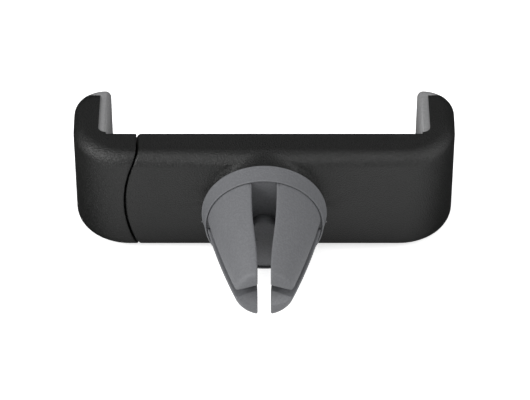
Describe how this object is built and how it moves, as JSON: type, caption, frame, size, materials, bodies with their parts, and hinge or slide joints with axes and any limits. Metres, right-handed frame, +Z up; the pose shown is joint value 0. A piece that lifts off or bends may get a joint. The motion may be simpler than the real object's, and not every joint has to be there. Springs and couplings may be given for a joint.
{
  "type": "car phone mount",
  "caption": "Spring-jaw phone holder for a car air vent, with a sliding jaw, rubber-lined grips and a swivelling rubber vent clip.",
  "frame": {"origin": "on the vent clip's swivel axis, in the plane of the bar's back face", "axes": "+X along the bar towards the fixed jaw, +Y from the back face towards the phone, +Z up across the bar"},
  "size_m": [0.0728, 0.0469, 0.0236],
  "materials": {
    "black_shell": "fine satin texture",
    "black_nylon": "smooth, slightly waxy",
    "grey_rubber": "soft matt silicone",
    "liner_rubber": "soft matt silicone",
    "steel": "zinc plated",
    "spring_steel": "bright drawn wire"
  },
  "bodies": {
    "housing": {"housing_shell": "black_shell", "front_cover": "black_shell", "front_pad": "liner_rubber", "fixed_jaw_liner": "liner_rubber", "cover_screws": "steel", "spring_anchors": "steel", "spring_upper": "spring_steel", "spring_lower": "spring_steel"},
    "sliding_jaw": {"sliding_jaw_shell": "black_shell", "sliding_jaw_liner": "liner_rubber", "slider": "black_nylon", "jaw_screws": "steel", "spring_hooks": "steel"},
    "vent_clip": {"clip_core": "black_nylon", "clip_disc": "grey_rubber", "blade_stop": "grey_rubber", "prong_upper_left": "grey_rubber", "prong_upper_right": "grey_rubber", "prong_lower_left": "grey_rubber", "prong_lower_right": "grey_rubber", "wave_washer": "spring_steel", "retaining_washer": "steel", "swivel_screw": "steel"}
  },
  "joints": [
    {"name": "jaw_slide", "type": "slide", "parent": "housing", "child": "sliding_jaw", "axis": [-1, 0, 0], "range_m": [0, 0.026], "stiffness_N_per_m": 120, "springref_m": -0.04, "deforming": ["spring_upper", "spring_lower"]},
    {"name": "clip_swivel", "type": "hinge", "parent": "housing", "child": "vent_clip", "pos_m": [0, 0, 0], "axis": [0, 1, 0], "continuous": true}
  ]
}
